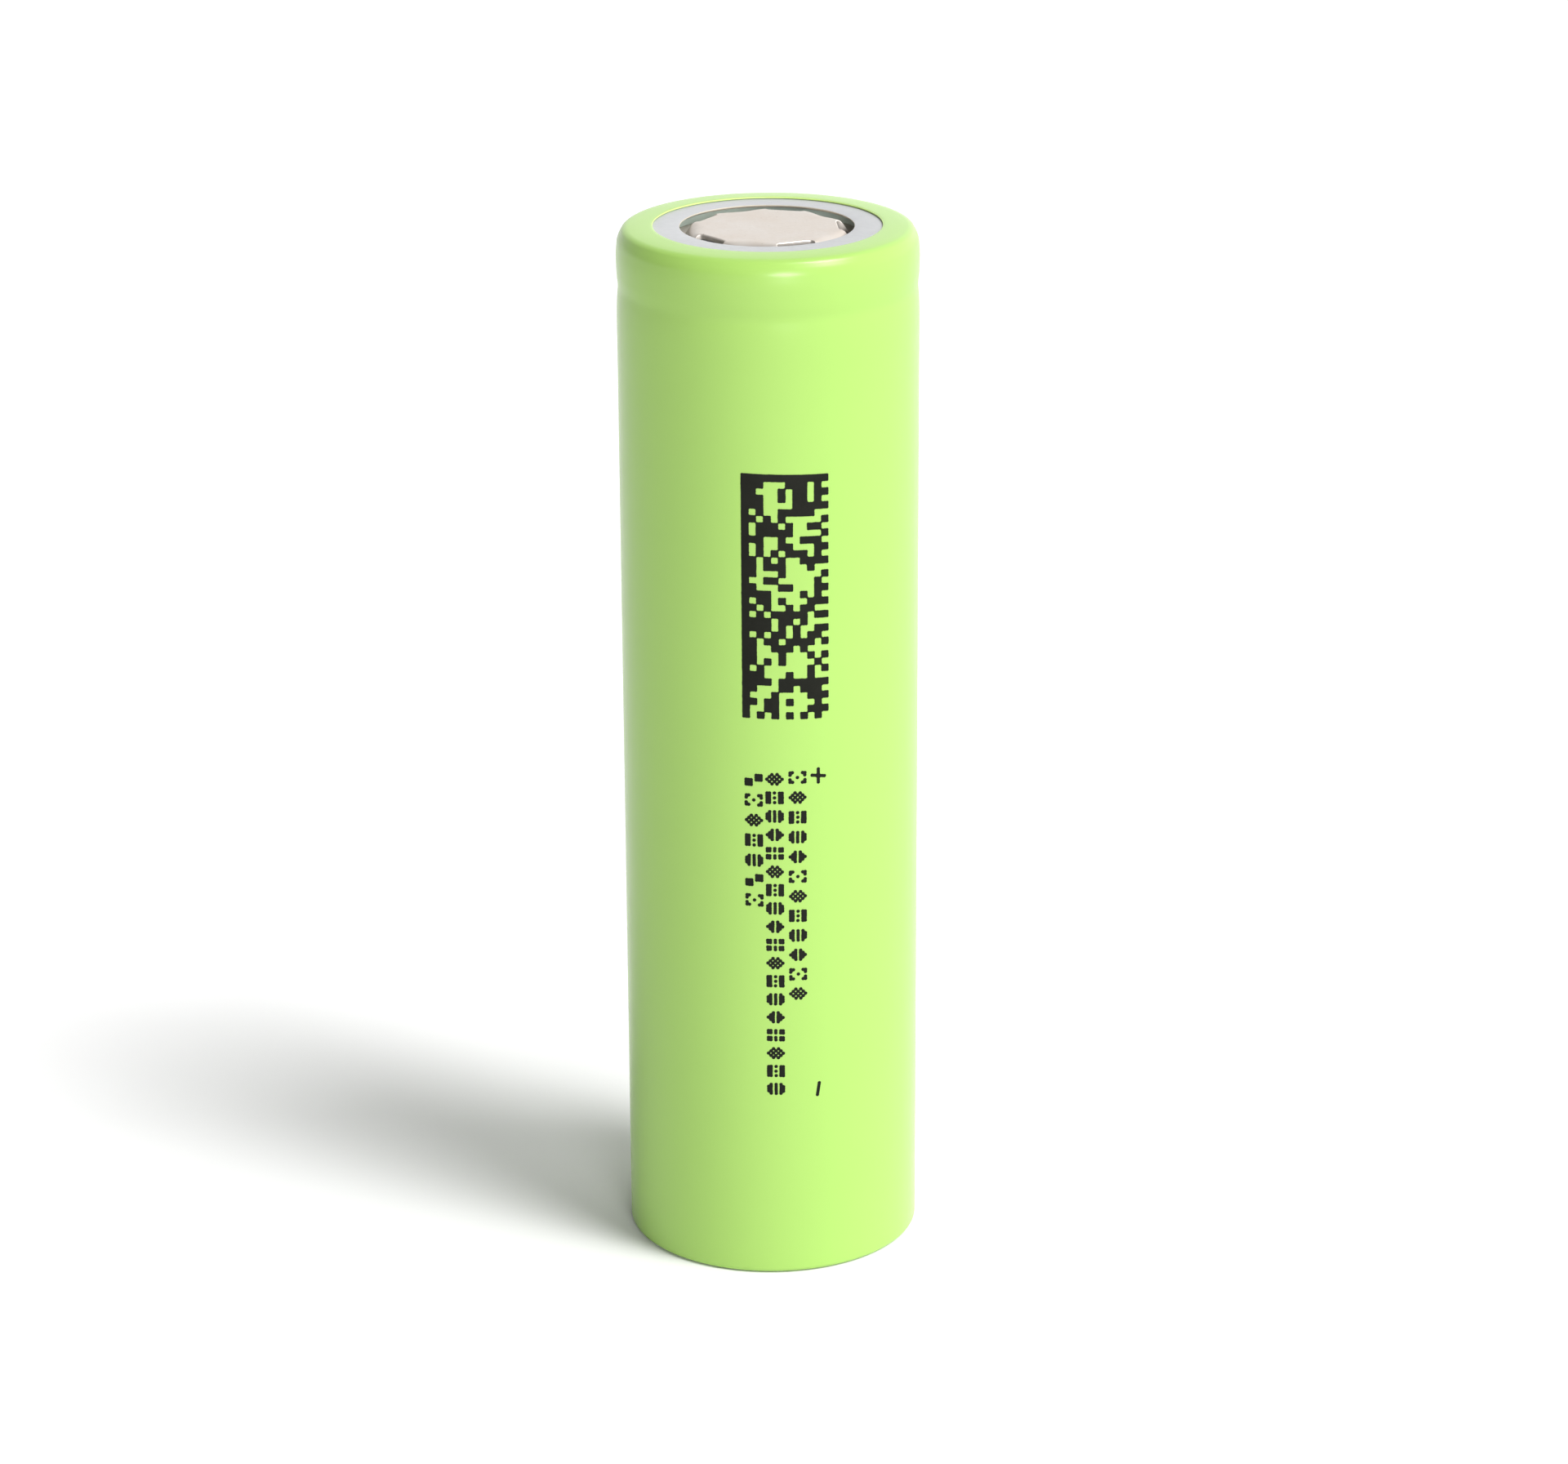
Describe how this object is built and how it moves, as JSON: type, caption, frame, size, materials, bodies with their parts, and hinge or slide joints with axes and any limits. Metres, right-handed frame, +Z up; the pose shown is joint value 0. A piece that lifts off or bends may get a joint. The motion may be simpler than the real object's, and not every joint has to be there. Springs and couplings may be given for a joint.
{
  "type": "cylindrical battery cell",
  "caption": "Tall cylindrical lithium-ion battery cell in a lime shrink sleeve, with a windowed metal cap set in a pale washer and a folded rim at each end.",
  "frame": {"origin": "centre of the bottom face, at the lowest plane of the sleeve's fold", "axes": "+Z up along the cell's axis, from the negative end to the positive cap; the printed side faces -Y"},
  "size_m": [0.0183, 0.0182, 0.0651],
  "materials": {
    "shrink_film": "glossy lime shrink film",
    "washer_board": "smooth pale grey insulating board",
    "nickel_steel": "nickel-plated deep-drawn steel",
    "cap_nickel": "matt nickel plate with bright cut edges",
    "gasket_plastic": "translucent grey-green moulding",
    "fuse_polymer": "conductive polymer between thin foils",
    "aluminium_sheet": "soft rolled aluminium",
    "insulator_plastic": "thin translucent insulator",
    "tab_nickel": "rolled nickel strip",
    "copper_foil": "rolled copper foil",
    "cathode_powder": "calendered oxide coating",
    "anode_powder": "calendered graphite coating",
    "separator_film": "microporous white film",
    "blue_tape": "thin adhesive tape",
    "amber_tape": "amber film tape",
    "pin_steel": "rolled stainless tube"
  },
  "bodies": {
    "cell": {"sleeve": "shrink_film", "top_washer": "washer_board", "steel_can": "nickel_steel", "crimp_gasket": "gasket_plastic", "positive_cap": "cap_nickel", "ptc_ring": "fuse_polymer", "vent_disc": "aluminium_sheet", "interrupter_ring": "insulator_plastic", "interrupter_plate": "aluminium_sheet", "cathode_tab": "aluminium_sheet", "anode_tab": "tab_nickel", "upper_insulator": "insulator_plastic", "lower_insulator": "insulator_plastic", "centre_pin": "pin_steel", "cathode_foil": "aluminium_sheet", "cathode_coating": "cathode_powder", "anode_foil": "copper_foil", "anode_coating": "anode_powder", "inner_separator": "separator_film", "outer_separator": "separator_film", "winding_tape": "blue_tape", "cathode_tab_tape": "amber_tape", "anode_tab_tape": "amber_tape"},
    "interrupter": {"interrupter_disc": "aluminium_sheet"}
  },
  "joints": [
    {"name": "interrupter_lift", "type": "slide", "parent": "cell", "child": "interrupter", "axis": [0, 0, 1], "range_m": [0, 0.0005], "deforming": ["vent_disc"]}
  ]
}
